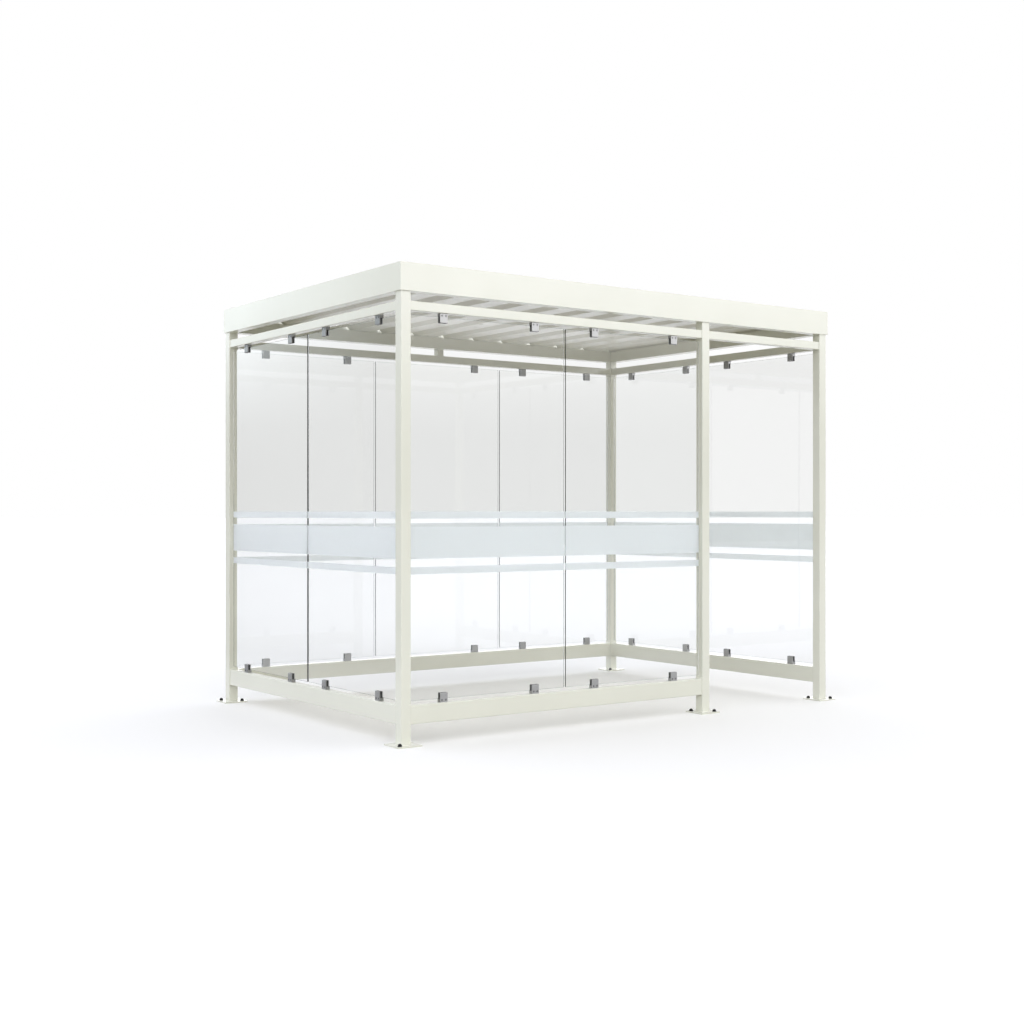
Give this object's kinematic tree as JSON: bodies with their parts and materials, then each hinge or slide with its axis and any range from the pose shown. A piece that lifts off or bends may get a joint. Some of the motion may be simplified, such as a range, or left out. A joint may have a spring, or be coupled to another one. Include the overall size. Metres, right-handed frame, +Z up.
{
  "type": "smoking shelter",
  "caption": "Free-standing open smoking shelter: box-section frame, glass walls held in clamps, ribbed roof sheet behind a deep fascia and an open doorway.",
  "frame": {"origin": "on the ground under the middle of the frame", "axes": "+X along the front to the right, towards the doorway; +Y to the rear; +Z up"},
  "size_m": [3.345, 2.3, 2.55],
  "materials": {
    "coat": "smooth satin powder coat, warm white",
    "roof_coat": "satin coil coat, grey white",
    "glass": "clear toughened glass with arrissed edges",
    "clamp_steel": "satin stainless steel",
    "gasket": "matt black",
    "film": "frosted film",
    "anchor_black": "black coated"
  },
  "bodies": {
    "root": {"base_plate_front_left": "coat", "base_plate_front_middle": "coat", "base_plate_front_right": "coat", "base_plate_rear_left": "coat", "base_plate_rear_right": "coat", "post_front_left": "coat", "post_front_middle": "coat", "post_front_right": "coat", "post_rear_left": "coat", "post_rear_right": "coat", "bottom_rail_front": "coat", "bottom_rail_left": "coat", "bottom_rail_rear": "coat", "bottom_rail_right": "coat", "top_rail_front": "coat", "top_rail_doorway": "coat", "top_rail_left": "coat", "top_rail_rear": "coat", "top_rail_right": "coat", "rear_rail_stub": "coat", "roof_beam_front": "coat", "roof_beam_rear": "coat", "roof_beam_left": "coat", "roof_beam_right": "coat", "fascia_front": "coat", "fascia_rear": "coat", "fascia_left": "coat", "fascia_right": "coat", "roof_sheet": "roof_coat", "glass_front_1": "glass", "glass_front_2": "glass", "glass_left_1": "glass", "glass_left_2": "glass", "glass_rear_1": "glass", "glass_rear_2": "glass", "glass_rear_3": "glass", "glass_right_1": "glass", "glass_right_2": "glass", "clamps_front": "clamp_steel", "clamps_left": "clamp_steel", "clamps_rear": "clamp_steel", "clamps_right": "clamp_steel", "clamp_gaskets": "gasket"}
  },
  "joints": []
}
